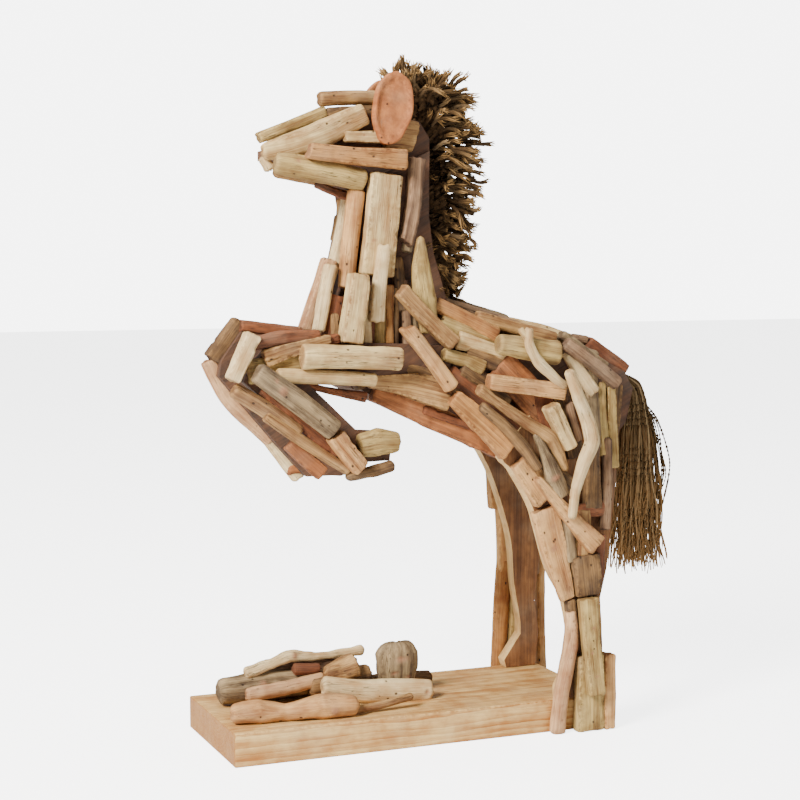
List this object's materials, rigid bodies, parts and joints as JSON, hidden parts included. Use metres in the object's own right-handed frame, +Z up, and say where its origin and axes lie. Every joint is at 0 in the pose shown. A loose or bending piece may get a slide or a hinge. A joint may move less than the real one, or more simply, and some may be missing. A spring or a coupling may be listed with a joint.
{
  "type": "driftwood rearing horse figurine on a plank plinth",
  "caption": "Rearing horse made of driftwood sticks glued over sawn boards, with a twine mane and tail, on a pine plank with a heap of driftwood.",
  "frame": {"origin": "middle of the plank plinth's underside, which rests on the table", "axes": "+Z up, +X along the plank towards the horse's tail, -Y the horse's left side, which the picture shows"},
  "size_m": [0.3908, 0.1545, 0.5079],
  "materials": {
    "pine": "satin",
    "board": "matte",
    "cream": "matte",
    "tan": "matte",
    "olive": "matte",
    "orange": "matte",
    "terracotta": "matte",
    "brown": "matte",
    "mauve": "matte",
    "mane": "matte",
    "tail": "matte"
  },
  "bodies": {
    "root": {"plinth_board": "pine", "left_hind_leg_board": "board", "right_hind_leg_board": "board", "left_foreleg_board": "board", "right_foreleg_board": "board", "body_board": "board", "back_sticks": "tan", "head_top_sticks": "terracotta", "left_neck_infill_sticks": "tan", "left_barrel_infill_sticks": "terracotta", "left_haunch_infill_sticks": "brown", "left_foreleg_infill_sticks": "terracotta", "muzzle_plank": "cream", "jaw_log": "tan", "back_of_head_block": "cream", "cheek_block": "orange", "throat_dowel": "orange", "neck_rear_stick": "mauve", "neck_wide_plank": "cream", "neck_leaf_stick": "olive", "neck_white_stick": "cream", "chest_square_post": "cream", "neck_front_sticks": "cream", "upper_arm_log": "tan", "shin_log": "brown", "knee_block": "cream", "fetlock_block": "orange", "hoof_block": "olive", "loin_log": "olive", "flank_plank": "orange", "shoulder_stick": "tan", "elbow_stick": "orange", "flank_curved_branch": "cream", "stifle_forked_stick": "mauve", "crossbar_stick": "orange", "croup_block": "terracotta", "rump_stick": "mauve", "thigh_bent_branch": "cream", "thigh_short_block": "tan", "gaskin_plank": "terracotta", "thigh_diagonal_plank": "orange", "hock_block": "brown", "left_hoof_blocks": "olive", "cannon_round_stick": "cream", "cannon_flat_plank": "olive", "right_head_and_neck_sticks": "cream", "right_barrel_sticks": "tan", "right_hind_leg_sticks": "olive", "right_foreleg_sticks": "tan", "left_ear_slice": "terracotta", "right_ear_slice": "terracotta", "mane_rope_tufts": "mane", "tail_rope_strands": "tail", "heap_front_log_and_twig": "terracotta", "heap_back_logs": "mauve", "heap_long_log": "cream", "heap_right_log": "brown", "heap_slab": "mauve", "heap_stub": "tan", "heap_wavy_branch": "cream"}
  },
  "joints": []
}
